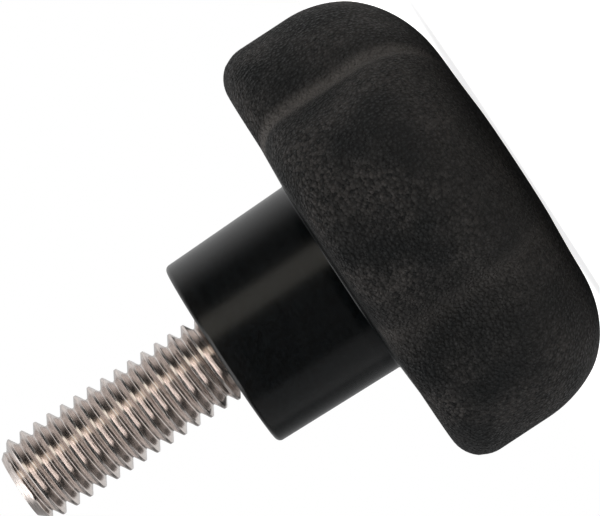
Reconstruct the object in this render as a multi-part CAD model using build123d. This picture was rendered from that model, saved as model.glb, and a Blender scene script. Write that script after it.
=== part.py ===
from build123d import *
import os

# Star knob: a moulded plastic head and boss with a steel stud moulded into it.
# The axis is Z. The stud points up, the head stands on its crown, and the origin is
# the middle of the boss's seat face, where the knob meets what it clamps.

# Head: five round lobes, flat on the crown, with a large round from the crown into the wall.
# The lobes' radius is a share of the head's diameter, and the crown's round a share of that radius.
head_diameter = 30.7
head_height = 12.7
lobe_count = 5
valley_radius = 0.75
first_lobe_angle = -90.0
lobe_share = 0.287
crown_edge_share = 0.806
rim_edge_radius = 2.2

# Boss under the head, with a low shoulder at its root
boss_length = 9.2
boss_seat_diameter = 13.0
boss_root_diameter = 13.4
boss_edge_bevel = 0.3
shoulder_diameter = 21.0
shoulder_rise = 0.25

# Stud outside the boss, at the thread's outer diameter
thread_diameter = 6.0
stud_length = 15.0
tip_diameter = 4.2
tip_length = 1.05

# Stud's anchor inside the boss: a plain collar flush with the seat, then a knurled,
# grooved head that can neither turn nor pull out
collar_diameter = 6.4
collar_length = 1.0
anchor_diameter = 7.6
anchor_length = 7.5
groove_diameter = 6.6
groove_length = 1.6
knurl_count = 18
knurl_depth = 0.35

# Cutters and joined solids reach this far past the face they meet
overrun = 1.0

underside = -boss_length
crown = underside - head_height


def turned(outline):
    """The solid made by turning a flat outline round the axis. Its points are (radius, height)."""
    return revolve(Plane.XZ * outline, Axis.Z)


def flat(*points):
    """The flat face inside straight edges from point to point."""
    return make_face(Polyline(*points, close=True))


# Lobed outline: one round per lobe, with the corner between two rounds filleted into a valley
lobe_radius = lobe_share * head_diameter
lobe_centre_radius = head_diameter / 2 - lobe_radius
lobes = Sketch()
for place in PolarLocations(lobe_centre_radius, lobe_count, start_angle=first_lobe_angle):
    lobes += place * Circle(lobe_radius)
valley_corners = lobes.vertices().sort_by(lambda corner: Vector(corner).length)[:lobe_count]
lobes = fillet(valley_corners, valley_radius)

# Head: the lobes drawn out to full height, then rounded towards the crown and at the rim
head = extrude(Plane.XY.offset(crown) * lobes, head_height)
head = fillet(head.edges().group_by(Axis.Z)[0], crown_edge_share * lobe_radius)
head = fillet(head.edges().group_by(Axis.Z)[-1], rim_edge_radius)

# Boss: drafted towards its seat, whose edge is broken, with its root sunk into the head
seat_edge = (boss_seat_diameter / 2, 0)
boss_outline = flat(
    (0, underside - overrun),
    (shoulder_diameter / 2, underside - overrun),
    (shoulder_diameter / 2, underside),
    (boss_root_diameter / 2, underside + shoulder_rise),
    seat_edge,
    (0, 0),
)
seat_corner = boss_outline.vertices().sort_by_distance(seat_edge)[0]
knob_body = head + turned(chamfer(seat_corner, boss_edge_bevel))

# Stud: turned in one piece from anchor to tip
anchor_top = -collar_length
anchor_end = anchor_top - anchor_length
groove_top = (anchor_top + anchor_end + groove_length) / 2
groove_end = groove_top - groove_length
threaded_stud = turned(
    flat(
        (0, anchor_end),
        (anchor_diameter / 2, anchor_end),
        (anchor_diameter / 2, groove_end),
        (groove_diameter / 2, groove_end),
        (groove_diameter / 2, groove_top),
        (anchor_diameter / 2, groove_top),
        (anchor_diameter / 2, anchor_top),
        (collar_diameter / 2, anchor_top),
        (collar_diameter / 2, 0),
        (thread_diameter / 2, 0),
        (thread_diameter / 2, stud_length - tip_length),
        (tip_diameter / 2, stud_length),
        (0, stud_length),
    )
)

# Straight knurl round the anchor: square bars, corner inwards, leave V grooves
knurl_side = knurl_depth * 2**0.5
knurl_bar = Rot(0, 0, 45) * Box(knurl_side, knurl_side, anchor_length + 2 * overrun)
anchor_middle = (anchor_top + anchor_end) / 2
for place in PolarLocations(anchor_diameter / 2, knurl_count):
    threaded_stud -= Pos(0, 0, anchor_middle) * place * knurl_bar

# The body is moulded round the stud and fills its knurl and groove
knob_body -= threaded_stud

os.makedirs("parts", exist_ok=True)
export_step(knob_body, "parts/knob_body.step")
export_step(threaded_stud, "parts/threaded_stud.step")
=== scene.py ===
import math

import bmesh
import bpy
from mathutils import Matrix, Vector, noise


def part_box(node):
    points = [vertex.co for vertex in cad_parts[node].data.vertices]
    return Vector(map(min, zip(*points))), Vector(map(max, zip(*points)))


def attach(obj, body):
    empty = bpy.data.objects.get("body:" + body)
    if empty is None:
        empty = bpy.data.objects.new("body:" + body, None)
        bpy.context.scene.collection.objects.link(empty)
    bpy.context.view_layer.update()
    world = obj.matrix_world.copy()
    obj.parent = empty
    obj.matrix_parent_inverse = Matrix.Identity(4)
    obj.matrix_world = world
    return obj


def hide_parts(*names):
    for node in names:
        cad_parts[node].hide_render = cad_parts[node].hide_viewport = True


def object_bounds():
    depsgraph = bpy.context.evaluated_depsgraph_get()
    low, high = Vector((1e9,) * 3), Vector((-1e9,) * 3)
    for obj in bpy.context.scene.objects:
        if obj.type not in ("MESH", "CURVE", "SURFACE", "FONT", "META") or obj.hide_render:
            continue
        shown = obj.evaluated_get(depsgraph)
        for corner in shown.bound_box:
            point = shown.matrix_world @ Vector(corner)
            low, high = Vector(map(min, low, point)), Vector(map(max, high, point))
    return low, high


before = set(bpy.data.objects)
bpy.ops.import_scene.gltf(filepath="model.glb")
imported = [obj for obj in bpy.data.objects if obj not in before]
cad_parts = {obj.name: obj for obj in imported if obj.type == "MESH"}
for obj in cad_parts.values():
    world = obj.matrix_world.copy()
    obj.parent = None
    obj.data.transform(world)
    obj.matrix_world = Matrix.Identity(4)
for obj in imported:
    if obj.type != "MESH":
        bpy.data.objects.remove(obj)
cad_low, cad_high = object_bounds()
mm = 0.001


# The view. The knob is seen square to its axis from about 40 cm, with the stud pointing down to the
# left and the head up to the right. It stands on its crown here, so the camera is rolled to match.
view_turn = math.radians(-14.5)
axis_slope = math.radians(33.25)
pixels_per_mm = 16.04
view_distance = 380 * mm
picture_size = (600, 516)
# Where the picture shows the middle of the boss's seat, and the point that the lens faces squarely
seat_pixel = (221.4, 355.3)
sight_pixel = (414.0, 228.0)

to_camera = Vector((math.sin(view_turn), -math.cos(view_turn), 0))
to_head = Vector((0, 0, -1))
to_side = to_camera.cross(Vector((0, 0, 1)))
picture_right = math.cos(axis_slope) * to_head + math.sin(axis_slope) * to_side
picture_up = math.sin(axis_slope) * to_head - math.cos(axis_slope) * to_side
seat_to_sight = (sight_pixel[0] - seat_pixel[0]) * picture_right
seat_to_sight += (seat_pixel[1] - sight_pixel[1]) * picture_up
looked_at = seat_to_sight / pixels_per_mm * mm

lens = bpy.data.cameras.new("camera")
lens.sensor_fit = "HORIZONTAL"
lens.sensor_width = 36.0
lens.lens = lens.sensor_width * view_distance / mm * pixels_per_mm / picture_size[0]
lens.clip_start = 10 * mm
lens.shift_x = (picture_size[0] / 2 - sight_pixel[0]) / picture_size[0]
lens.shift_y = (sight_pixel[1] - picture_size[1] / 2) / picture_size[0]
camera = bpy.data.objects.new("camera", lens)
rolled = Matrix((picture_right, picture_up, to_camera)).transposed().to_4x4()
camera.matrix_world = Matrix.Translation(looked_at + view_distance * to_camera) @ rolled
bpy.context.scene.collection.objects.link(camera)
bpy.context.scene.camera = camera


# Knob body. One black moulding of glass-filled plastic, made round the stud: the lobed head has a fine
# leathery grain from its etched mould, and the boss under it comes smooth out of a turned insert.
body_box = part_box("knob_body")
crown_height = body_box[0].z
head_radius = 15.35 * mm
head_height = 12.7 * mm
lobe_count = 5
lobe_radius = 8.81 * mm
valley_radius = 0.75 * mm
crown_round = 7.1 * mm
valley_crown_round = 5.1 * mm
tightening_share = 0.45
crown_fall = 0.30 * mm
fall_start = 1.15 * mm
fall_end = 11.5 * mm
fall_lean = 0.8
rim_round = 2.2 * mm
underside = crown_height + head_height
shoulder_radius = 10.5 * mm
shoulder_rise = 0.25 * mm
boss_root_radius = 6.7 * mm
boss_seat_radius = 6.5 * mm
root_round = 0.12 * mm
edge_round = 0.35 * mm
seat_ring_radii = (5.0 * mm, 4.0 * mm)
socket_radius = 3.2 * mm
socket_depth = 1.0 * mm
sink_depth = 0.04 * mm
sink_change_share = 0.75
broad_sink = 5.0 * mm
small_sink = 2.6 * mm
lobe_steps = 64
valley_steps = 14
inner_steps = 16
crown_steps = 26
wall_steps = 16
rim_steps = 12
root_steps = 4
boss_steps = 13
edge_steps = 8
sharp_angle = math.radians(40)


def facing(turn):
    """The level direction at a turn round the axis."""
    return Vector((math.cos(turn), math.sin(turn), 0))


# Lobed outline: points, outward directions and crown rounds, lobe after lobe, each followed by its
# valley. The crown's round tightens towards the valleys, so they run straight up nearly to the crown.
lobe_middle = head_radius - lobe_radius
half_share = math.pi / lobe_count
valley_middle = lobe_middle * math.cos(half_share)
valley_middle += math.sqrt((lobe_radius + valley_radius) ** 2 - (lobe_middle * math.sin(half_share)) ** 2)
lobe_reach = math.atan2(
    valley_middle * math.sin(half_share),
    valley_middle * math.cos(half_share) - lobe_middle,
)
valley_reach = lobe_reach - half_share
outline = []
for lobe in range(lobe_count):
    lobe_angle = -math.pi / 2 + lobe * 2 * half_share
    valley_angle = lobe_angle + half_share
    for step in range(lobe_steps + 1):
        from_middle = 2 * step / lobe_steps - 1
        away = facing(lobe_angle + lobe_reach * from_middle)
        share = max(0.0, abs(from_middle) - tightening_share) / (1 - tightening_share)
        tightened = share * share * (3 - 2 * share)
        rounding = crown_round + (valley_crown_round - crown_round) * tightened
        outline.append((lobe_middle * facing(lobe_angle) + lobe_radius * away, away, rounding))
    for step in range(1, valley_steps):
        away = facing(valley_angle + valley_reach * (1 - 2 * step / valley_steps))
        spot = valley_middle * facing(valley_angle) - valley_radius * away
        outline.append((spot, away, valley_crown_round))


def wall_ring(inset, height):
    """A ring of points at one height, set in from the lobed outline."""
    return [spot - inset * away + Vector((0, 0, height)) for spot, away, _ in outline]


def turned_ring(radius, height):
    """A ring of points on a circle, in step with the lobed outline."""
    return [radius * spot.normalized() + Vector((0, 0, height)) for spot, _, _ in outline]


def fall_at(inset):
    """How far the crown falls below its flat middle at an inset from the wall, beside the round."""
    share = (inset - fall_start) / (fall_end - fall_start)
    return crown_fall * math.sin(math.pi * share**fall_lean) if 0 < share < 1 else 0.0


# Head: a round, nearly flat crown, its round spread out to the lobes, then the wall and the rim
crown_circle = head_radius - crown_round
rings = []
for step in range(1, inner_steps):
    radius = crown_circle * step / inner_steps
    rings.append(turned_ring(radius, crown_height + fall_at(head_radius - radius)))
for step in range(crown_steps + 1):
    turn = math.pi / 2 * step / crown_steps
    ring = []
    for spot, _, rounding in outline:
        radius = crown_circle + (spot.length - crown_circle) * math.sin(turn)
        rise = rounding * (1 - math.cos(turn)) + fall_at(crown_round * (1 - math.sin(turn)))
        ring.append(radius * spot.normalized() + Vector((0, 0, crown_height + rise)))
    rings.append(ring)
wall_foot = rings[-1]
wall_high = underside - rim_round
wall_top = wall_ring(0, wall_high)
for step in range(1, wall_steps):
    rings.append([low.lerp(high, step / wall_steps) for low, high in zip(wall_foot, wall_top)])
for step in range(rim_steps + 1):
    turn = math.pi / 2 * step / rim_steps
    rings.append(wall_ring(rim_round * (1 - math.cos(turn)), wall_high + rim_round * math.sin(turn)))
rim_ring = rings[-1]
shoulder_ring = turned_ring(shoulder_radius, underside)
for share in (0.35, 0.7, 1.0):
    rings.append([rim.lerp(shoulder, share) for rim, shoulder in zip(rim_ring, shoulder_ring)])
head_rings = len(rings)

# Underside and boss: shoulder, small root round, drafted wall, rounded edge, seat and socket
boss_foot = underside + shoulder_rise
for share in (0.3, 0.6, 0.85):
    radius = shoulder_radius + (boss_root_radius + root_round - shoulder_radius) * share
    rings.append(turned_ring(radius, underside + shoulder_rise * share))
for step in range(root_steps + 1):
    turn = math.pi / 2 * step / root_steps
    radius = boss_root_radius + root_round * (1 - math.sin(turn))
    rings.append(turned_ring(radius, boss_foot + root_round * (1 - math.cos(turn))))
boss_low = boss_foot + root_round
for step in range(1, boss_steps + 1):
    share = step / boss_steps
    radius = boss_root_radius + (boss_seat_radius - boss_root_radius) * share
    rings.append(turned_ring(radius, boss_low + (-edge_round - boss_low) * share))
for step in range(1, edge_steps + 1):
    turn = math.pi / 2 * step / edge_steps
    radius = boss_seat_radius - edge_round * (1 - math.cos(turn))
    rings.append(turned_ring(radius, -edge_round * (1 - math.sin(turn))))
for radius in (*seat_ring_radii, socket_radius):
    rings.append(turned_ring(radius, 0))
rings.append(turned_ring(socket_radius, -socket_depth))

sink_low = crown_height + 0.2 * mm
sink_high = wall_high + 0.6 * rim_round
small_sink_start = Vector((7, 3, 1))


def sunk(point):
    """The point drawn in a little where the thick lobes shrank as they cooled."""
    if point.z > sink_high or point.z < sink_low:
        return point
    swell = noise.noise(point / broad_sink) + 0.5 * noise.noise(point / small_sink + small_sink_start)
    level = Vector((point.x, point.y, 0))
    return point - level.normalized() * sink_depth * (1 + sink_change_share * swell)


def join_rings(work, grid, columns):
    """Faces between each ring of vertices and the next, for a number of columns."""
    for low, high in zip(grid, grid[1:]):
        for at in range(columns):
            after = (at + 1) % len(low)
            work.faces.new((low[at], low[after], high[after], high[at]))


def finished_mesh(work, name):
    """The mesh from its working form, smooth but for its sharp edges."""
    mesh = bpy.data.meshes.new(name)
    work.to_mesh(mesh)
    work.free()
    mesh.shade_smooth()
    mesh.set_sharp_from_angle(angle=sharp_angle)
    return mesh


body_work = bmesh.new()
crown_centre = body_work.verts.new((0, 0, crown_height))
socket_centre = body_work.verts.new((0, 0, -socket_depth))
grid = []
for index, ring in enumerate(rings):
    grid.append([body_work.verts.new(sunk(point) if index < head_rings else point) for point in ring])
columns = len(outline)
join_rings(body_work, grid, columns)
for at in range(columns):
    after = (at + 1) % columns
    body_work.faces.new((crown_centre, grid[0][after], grid[0][at]))
    body_work.faces.new((socket_centre, grid[-1][at], grid[-1][after]))
body_mesh = finished_mesh(body_work, "knob_body_mesh")
knob_body = bpy.data.objects.new("grained_knob", body_mesh)
bpy.context.scene.collection.objects.link(knob_body)
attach(knob_body, "root")
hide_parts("knob_body")


def feed(tree, socket, value):
    """Links an output to a socket, or sets the socket to a plain number or colour."""
    if isinstance(value, bpy.types.NodeSocket):
        tree.links.new(value, socket)
    else:
        socket.default_value = value


def worked(tree, operation, *terms):
    """The output of a sum on other outputs and plain numbers."""
    node = tree.nodes.new("ShaderNodeMath")
    node.operation = operation
    for socket, term in zip(node.inputs, terms):
        feed(tree, socket, term)
    return node.outputs[0]


def worked_vector(tree, operation, output, *terms):
    """An output of a sum on directions or places."""
    node = tree.nodes.new("ShaderNodeVectorMath")
    node.operation = operation
    for socket, term in zip(node.inputs, terms):
        feed(tree, socket, term)
    return node.outputs[output]


def ranged(tree, value, before, after=(0.0, 1.0), smooth=False):
    """A value carried from one range over to another and held within it."""
    node = tree.nodes.new("ShaderNodeMapRange")
    if smooth:
        node.interpolation_type = "SMOOTHSTEP"
    feed(tree, node.inputs["Value"], value)
    for name, limit in zip(("From Min", "From Max", "To Min", "To Max"), (*before, *after)):
        feed(tree, node.inputs[name], limit)
    return node.outputs["Result"]


def mottled(tree, place, size, detail):
    """Cloudy noise with patches of one size."""
    node = tree.nodes.new("ShaderNodeTexNoise")
    node.inputs["Scale"].default_value = 1 / size
    node.inputs["Detail"].default_value = detail
    tree.links.new(place, node.inputs["Vector"])
    return node.outputs["Fac"]


def two_toned(tree, value, *tones):
    """A colour that goes from one tone to another. A tone is a value and its colour."""
    node = tree.nodes.new("ShaderNodeValToRGB")
    for element, (position, color) in zip(node.color_ramp.elements, tones):
        element.position = position
        element.color = color
    tree.links.new(value, node.inputs["Fac"])
    return node.outputs["Color"]


def mixed(tree, factor, under, over, blend="MIX"):
    """One colour laid over another."""
    node = tree.nodes.new("ShaderNodeMix")
    node.data_type = "RGBA"
    node.blend_type = blend
    feed(tree, node.inputs["Factor"], factor)
    feed(tree, node.inputs["A"], under)
    feed(tree, node.inputs["B"], over)
    return node.outputs["Result"]


def embossed(tree, relief, strength, depth):
    """The normal of a surface that carries a fine relief."""
    node = tree.nodes.new("ShaderNodeBump")
    node.inputs["Strength"].default_value = strength
    node.inputs["Distance"].default_value = depth
    tree.links.new(relief, node.inputs["Height"])
    return node.outputs["Normal"]


# Both materials need to know where a point lies round the knob's axis
round_axis = bpy.data.node_groups.new("round_axis", "ShaderNodeTree")
round_axis.interface.new_socket("Place", in_out="INPUT", socket_type="NodeSocketVector")
for name in ("Turn", "Radius"):
    round_axis.interface.new_socket(name, in_out="OUTPUT", socket_type="NodeSocketFloat")
given = round_axis.nodes.new("NodeGroupInput")
found = round_axis.nodes.new("NodeGroupOutput")
split = round_axis.nodes.new("ShaderNodeSeparateXYZ")
round_axis.links.new(given.outputs["Place"], split.inputs[0])
level = round_axis.nodes.new("ShaderNodeCombineXYZ")
for name in ("X", "Y"):
    round_axis.links.new(split.outputs[name], level.inputs[name])
axis_turn = worked(round_axis, "ARCTAN2", split.outputs["Y"], split.outputs["X"])
axis_distance = worked_vector(round_axis, "LENGTH", "Value", level.outputs[0])
round_axis.links.new(axis_turn, found.inputs["Turn"])
round_axis.links.new(axis_distance, found.inputs["Radius"])


def placed_round_axis(tree, place):
    """The outputs of that group in a material."""
    node = tree.nodes.new("ShaderNodeGroup")
    node.node_tree = round_axis
    tree.links.new(place, node.inputs["Place"])
    return node.outputs


grain_start = underside + 0.25 * mm
grain_full = underside - 0.1 * mm
pebble_size = 0.22 * mm
wrinkle_size = 0.24 * mm
grain_depth = 0.34 * mm
patch_size = 3.4 * mm
# Where the painted light lies: the side whose valleys are painted brighter, the radii of the valley
# walls, the crown and the boss's seat edge
brighter_side = 8 * mm
valley_highlight_start = 9 * mm
valley_highlight_full = 12 * mm
crown_light_start = crown_height + 9 * mm
crown_light_full = crown_height + 1 * mm
seat_highlight_start = -1.7 * mm
seat_highlight_full = 0.1 * mm
tool_ring_size = 0.16 * mm
deep_black = (0.0008, 0.0011, 0.0013, 1)
worn_black = (0.0142, 0.0128, 0.0121, 1)
# pale tone of the painted highlights on the valleys, the crown and the seat edge
painted_light_tone = (0.086, 0.078, 0.073, 1)

plastic = bpy.data.materials.new("black_plastic")
plastic.use_nodes = True
tree = plastic.node_tree
shader = tree.nodes["Principled BSDF"]
shader.inputs["Specular IOR Level"].default_value = 0.35
place = tree.nodes.new("ShaderNodeTexCoord").outputs["Object"]
split = tree.nodes.new("ShaderNodeSeparateXYZ")
tree.links.new(place, split.inputs[0])
height = split.outputs["Z"]
on_axis = placed_round_axis(tree, place)
on_head = ranged(tree, height, (grain_start, grain_full))

# Grain of the etched mould: small pebbles broken up by wrinkles, on the head alone
pebbles = tree.nodes.new("ShaderNodeTexVoronoi")
pebbles.feature = "SMOOTH_F1"
pebbles.inputs["Scale"].default_value = 1 / pebble_size
pebbles.inputs["Smoothness"].default_value = 0.35
tree.links.new(place, pebbles.inputs["Vector"])
wrinkles = mottled(tree, place, wrinkle_size, detail=3.0)
grain = worked(tree, "SUBTRACT", wrinkles, pebbles.outputs["Distance"])
grain_here = worked(tree, "MULTIPLY", grain, on_head)
raised = embossed(tree, grain_here, strength=1.0, depth=grain_depth)
tree.links.new(raised, shader.inputs["Normal"])

# Painted light: the walls are painted paler towards the valleys, with a bright painted highlight along
# each crease that is stronger on one side of the knob, and the head is painted paler towards its crown
# where it catches the light. The distance from a lobe's middle is 0 there and 0.5 in the valley.
lobe_turns = worked(tree, "MULTIPLY_ADD", on_axis["Turn"], lobe_count / (2 * math.pi), lobe_count / 4)
from_lobe = worked(tree, "PINGPONG", lobe_turns, 0.5)
valley_paling = ranged(tree, from_lobe, (0.34, 0.50), (0.0, 0.09), smooth=True)
# painted highlight line along each valley's crease, brighter on one side of the knob
crease_highlight = ranged(tree, from_lobe, (0.440, 0.495), smooth=True)
brighter_side_strength = ranged(tree, split.outputs["X"], (-brighter_side, brighter_side), (0.20, 1.00))
valley_highlight = worked(tree, "MULTIPLY_ADD", crease_highlight, brighter_side_strength, valley_paling)
on_wall = ranged(tree, on_axis["Radius"], (valley_highlight_start, valley_highlight_full), smooth=True)
valley_highlight_on_wall = worked(tree, "MULTIPLY", valley_highlight, on_wall)
# painted light: the head is painted paler towards its crown
crown_light = ranged(tree, height, (crown_light_start, crown_light_full), (0.0, 0.20), smooth=True)
painted_light = worked(tree, "ADD", valley_highlight_on_wall, crown_light)
painted_light_on_head = worked(tree, "MULTIPLY", painted_light, on_head)
# painted highlight along the boss's rounded seat edge
seat_edge_highlight = ranged(tree, height, (seat_highlight_start, seat_highlight_full), (0.0, 0.07), smooth=True)
painted_light_share = worked(tree, "ADD", painted_light_on_head, seat_edge_highlight)

# Colour: broad lighter and darker patches on the head, specked by the pebbles, with the painted
# highlights and painted crown light on top
patches = mottled(tree, place, patch_size, detail=1.5)
tone = worked(tree, "MULTIPLY", patches, on_head)
shade = two_toned(tree, tone, (0.38, deep_black), (0.64, worn_black))
specks = ranged(tree, pebbles.outputs["Color"], (0.15, 0.85), (0.00, 3.30))
specked = mixed(tree, 1.0, shade, specks, blend="MULTIPLY")
highlighted = mixed(tree, painted_light_share, specked, painted_light_tone)
tree.links.new(highlighted, shader.inputs["Base Color"])

# Gloss: the pebbles' tops are worn smoother, and the boss has faint rings from its turned insert
flattened = worked_vector(tree, "MULTIPLY", "Vector", place, (0.06, 0.06, 1.0))
tool_rings = mottled(tree, flattened, tool_ring_size, detail=2.0)
boss_gloss = ranged(tree, tool_rings, (0.3, 0.7), (0.220, 0.250))
worn_tops = ranged(tree, pebbles.outputs["Distance"], (0.10, 0.60), (0.46, 0.88))
dullness = ranged(tree, on_head, (0.0, 1.0), (boss_gloss, worn_tops))
tree.links.new(dullness, shader.inputs["Roughness"])
body_mesh.materials.append(plastic)


# Threaded stud. A rolled stainless stud with a right-handed metric thread right up to the boss, a
# bevelled tip, and below the seat a plain collar and a knurled, grooved anchor held by the moulding.
pitch = 1.0 * mm
first_crest = 0.100
thread_radius = 3.0 * mm
crest_radius = 2.91 * mm
root_radius = 2.32 * mm
stud_length = 15.0 * mm
tip_radius = 2.1 * mm
tip_length = 1.05 * mm
collar_radius = 3.2 * mm
collar_end = -1.0 * mm
anchor_radius = 3.8 * mm
anchor_end = -8.5 * mm
groove_radius = 3.3 * mm
groove_low = -5.55 * mm
groove_high = -3.95 * mm
knurl_count = 18
knurl_depth = 0.35 * mm
turn_steps = 144
join_gap = 0.0003 * mm
thin_gap = 0.0002 * mm
# One pitch of the thread from crest to crest: share of the pitch, share of the thread's depth
thread_form = [
    (0.000, 1.00), (0.075, 1.00), (0.100, 0.96), (0.170, 0.76), (0.240, 0.56), (0.310, 0.36),
    (0.375, 0.17), (0.420, 0.06), (0.460, 0.01), (0.500, 0.00), (0.540, 0.01), (0.580, 0.06),
    (0.625, 0.17), (0.690, 0.36), (0.760, 0.56), (0.830, 0.76), (0.900, 0.96), (0.925, 1.00),
    (1.000, 1.00),
]


def thread_at(share):
    """Radius of the thread at a share of the pitch past a crest."""
    share = share % 1.0
    for (low, at_low), (high, at_high) in zip(thread_form, thread_form[1:]):
        if low <= share <= high:
            depth = at_low + (at_high - at_low) * (share - low) / (high - low)
            return root_radius + depth * (crest_radius - root_radius)


def around_stud(step, radius, height):
    """A point on the stud at one of its steps of turn."""
    turn = 2 * math.pi * step / turn_steps
    return Vector((radius * math.cos(turn), radius * math.sin(turn), height))


def anchor_at(step):
    """Radius of the anchor at a step of turn, with its V grooves."""
    from_groove = abs((step * knurl_count / turn_steps + 0.5) % 1.0 - 0.5) * 2 * math.pi / knurl_count
    return min(anchor_radius, anchor_radius - knurl_depth + from_groove * anchor_radius)


# Anchor and collar, from the anchor's end up to the seat
steps = range(turn_steps)
rings = [
    [around_stud(step, anchor_at(step), anchor_end) for step in steps],
    [around_stud(step, anchor_at(step), groove_low) for step in steps],
    [around_stud(step, groove_radius, groove_low) for step in steps],
    [around_stud(step, groove_radius, groove_high) for step in steps],
    [around_stud(step, anchor_at(step), groove_high) for step in steps],
    [around_stud(step, anchor_at(step), collar_end) for step in steps],
    [around_stud(step, collar_radius, collar_end) for step in steps],
    [around_stud(step, collar_radius, 0) for step in steps],
]
stud_work = bmesh.new()
grid = [[stud_work.verts.new(point) for point in ring] for ring in rings]
join_rings(stud_work, grid, turn_steps)
anchor_centre = stud_work.verts.new((0, 0, anchor_end))
for at in steps:
    stud_work.faces.new((anchor_centre, grid[0][(at + 1) % turn_steps], grid[0][at]))

# The thread's rows follow its helix, and are held within the seat and the tip
rows = []
for turn in range(-2, round(stud_length / pitch) + 1):
    for share, depth in thread_form[:-1]:
        row = []
        for step in range(turn_steps + 1):
            around = step / turn_steps
            height = (turn + share + around + first_crest) * pitch
            held = min(max(height, 0.0), stud_length)
            radius = root_radius + depth * (crest_radius - root_radius)
            if held != height:
                radius = thread_at(held / pitch - around - first_crest)
            bevel = tip_radius + (stud_length - held) * (thread_radius - tip_radius) / tip_length
            row.append(around_stud(step, min(radius, bevel), held))
        rows.append(row)
grid = [[stud_work.verts.new(point) for point in row] for row in rows]
join_rings(stud_work, grid, turn_steps)

# The seat's flat between collar and thread, and the tip's end
collar_ring = rings[-1]
for at in steps:
    after = (at + 1) % turn_steps
    inner = [stud_work.verts.new(rows[0][at]), stud_work.verts.new(rows[0][at + 1])]
    outer = [stud_work.verts.new(collar_ring[at]), stud_work.verts.new(collar_ring[after])]
    stud_work.faces.new((outer[0], outer[1], inner[1], inner[0]))
    end = [stud_work.verts.new(rows[-1][at]), stud_work.verts.new(rows[-1][at + 1])]
    stud_work.faces.new((end[0], end[1], stud_work.verts.new((0, 0, stud_length))))
bmesh.ops.remove_doubles(stud_work, verts=stud_work.verts, dist=join_gap)
bmesh.ops.dissolve_degenerate(stud_work, edges=stud_work.edges, dist=thin_gap)
stud_mesh = finished_mesh(stud_work, "threaded_stud_mesh")
stud = bpy.data.objects.new("rolled_stud", stud_mesh)
bpy.context.scene.collection.objects.link(stud)
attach(stud, "root")
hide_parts("threaded_stud")

# Steel with fine lines that run round it, left by rolling and turning
line_spread = 0.35 * mm
line_size = 0.09 * mm
line_depth = 0.02 * mm
dull_steel = (0.56, 0.498, 0.470, 1)
bright_steel = (0.82, 0.740, 0.695, 1)

steel = bpy.data.materials.new("stainless_steel")
steel.use_nodes = True
tree = steel.node_tree
shader = tree.nodes["Principled BSDF"]
shader.inputs["Metallic"].default_value = 1.0
place = tree.nodes.new("ShaderNodeTexCoord").outputs["Object"]
split = tree.nodes.new("ShaderNodeSeparateXYZ")
tree.links.new(place, split.inputs[0])
on_axis = placed_round_axis(tree, place)
unrolled = tree.nodes.new("ShaderNodeCombineXYZ")
tree.links.new(worked(tree, "MULTIPLY", on_axis["Turn"], line_spread), unrolled.inputs["X"])
tree.links.new(on_axis["Radius"], unrolled.inputs["Y"])
tree.links.new(split.outputs["Z"], unrolled.inputs["Z"])
drawn_lines = mottled(tree, unrolled.outputs[0], line_size, detail=3.0)
tone = two_toned(tree, drawn_lines, (0.3, dull_steel), (0.7, bright_steel))
tree.links.new(tone, shader.inputs["Base Color"])
polish = ranged(tree, drawn_lines, (0.0, 1.0), (0.12, 0.27))
tree.links.new(polish, shader.inputs["Roughness"])
scored = embossed(tree, drawn_lines, strength=0.35, depth=line_depth)
tree.links.new(scored, shader.inputs["Normal"])
stud_mesh.materials.append(steel)


# Floor. A plain white sheet, just under the crown that stands on it. It glows where the camera looks
# at it and only a little in reflections, so it is white without lighting the knob.
floor_reach = 1.2
floor_height = cad_low.z - 0.02 * mm
floor_glow = 0.84
mirrored_glow = 0.08
corners = [(-1, -1), (1, -1), (1, 1), (-1, 1)]
floor_mesh = bpy.data.meshes.new("floor_mesh")
floor_points = [(x * floor_reach, y * floor_reach, floor_height) for x, y in corners]
floor_mesh.from_pydata(floor_points, [], [(0, 1, 2, 3)])
floor = bpy.data.objects.new("floor", floor_mesh)
bpy.context.scene.collection.objects.link(floor)

white = bpy.data.materials.new("white_floor")
white.use_nodes = True
tree = white.node_tree
shader = tree.nodes["Principled BSDF"]
shader.inputs["Base Color"].default_value = (0.8, 0.8, 0.8, 1)
shader.inputs["Roughness"].default_value = 0.9
shader.inputs["Emission Color"].default_value = (1, 1, 1, 1)
rays = tree.nodes.new("ShaderNodeLightPath").outputs
mirrored = worked(tree, "MULTIPLY", rays["Is Glossy Ray"], mirrored_glow)
straight = worked(tree, "MAXIMUM", rays["Is Camera Ray"], rays["Is Transmission Ray"])
glow = worked(tree, "MULTIPLY_ADD", straight, floor_glow, mirrored)
tree.links.new(glow, shader.inputs["Emission Strength"])
floor_mesh.materials.append(white)


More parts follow.
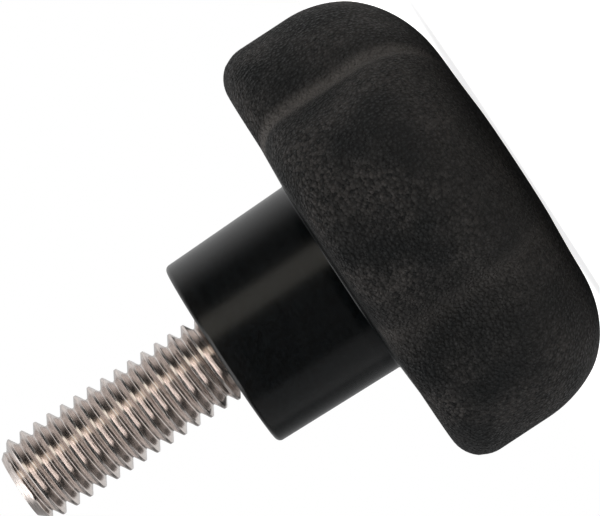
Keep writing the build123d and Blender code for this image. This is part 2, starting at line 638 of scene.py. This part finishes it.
# Lamps. Four soft boxes: a narrow, warm strip beside the camera, a weak one at the side, one overhead
# from the back, and a strong one high in front, which the upright walls don't mirror to the camera.
def soft_box(name, turn, rise, distance, width, height, radiance, color=(1, 1, 1)):
    """A soft box aimed at the knob, at a turn from the camera towards the picture's lower side."""
    turn, rise = math.radians(turn), math.radians(rise)
    level = math.cos(turn) * to_camera + math.sin(turn) * to_side
    away = math.cos(rise) * level + math.sin(rise) * Vector((0, 0, 1))
    lamp = bpy.data.lights.new(name, "AREA")
    lamp.shape = "RECTANGLE"
    lamp.color = color
    lamp.size = width
    lamp.size_y = height
    lamp.energy = radiance * math.pi * width * height
    box = bpy.data.objects.new(name, lamp)
    box.location = distance * away
    box.rotation_euler = away.to_track_quat("Z", "Y").to_euler()
    bpy.context.scene.collection.objects.link(box)


warm_white = (1.0, 0.95, 0.84)
soft_box(
    "strip_beside_camera",
    turn=-33, rise=2, distance=0.5, width=0.24, height=0.95, radiance=1.13, color=warm_white,
)
soft_box("low_side", turn=90, rise=2, distance=0.5, width=0.45, height=0.50, radiance=0.30)
soft_box("overhead", turn=180, rise=75, distance=0.6, width=0.60, height=0.60, radiance=0.7)
soft_box("front_high", turn=10, rise=62, distance=0.6, width=0.70, height=0.50, radiance=2.5)


# Room. A white backdrop fills the picture behind the knob. As light and in reflections it is bright only
# behind the knob on the picture's upper side, and fades into a dark room towards the camera.
dark_room = (0.004, 0.010, 0.012, 1)
world = bpy.data.worlds.new("studio")
bpy.context.scene.world = world
world.use_nodes = True
tree = world.node_tree
room = tree.nodes["Background"]
room.inputs["Color"].default_value = dark_room
backdrop = tree.nodes.new("ShaderNodeBackground")
backdrop.inputs["Color"].default_value = (1, 1, 1, 1)
way = tree.nodes.new("ShaderNodeTexCoord").outputs["Generated"]
behind = worked_vector(tree, "DOT_PRODUCT", "Value", way, -to_camera)
behind_share = ranged(tree, behind, (-0.25, 0.60), smooth=True)
beside = worked_vector(tree, "DOT_PRODUCT", "Value", way, -to_side)
side_share = ranged(tree, beside, (-1.0, 1.0), (0.05, 0.95))
lit = worked(tree, "MULTIPLY", behind_share, side_share)
rays = tree.nodes.new("ShaderNodeLightPath").outputs
straight = worked(tree, "MAXIMUM", rays["Is Camera Ray"], rays["Is Transmission Ray"])
shown = worked(tree, "MAXIMUM", straight, lit)
choose = tree.nodes.new("ShaderNodeMixShader")
tree.links.new(shown, choose.inputs[0])
tree.links.new(room.outputs[0], choose.inputs[1])
tree.links.new(backdrop.outputs[0], choose.inputs[2])
tree.links.new(choose.outputs[0], tree.nodes["World Output"].inputs["Surface"])

bpy.context.scene.view_settings.view_transform = "Standard"
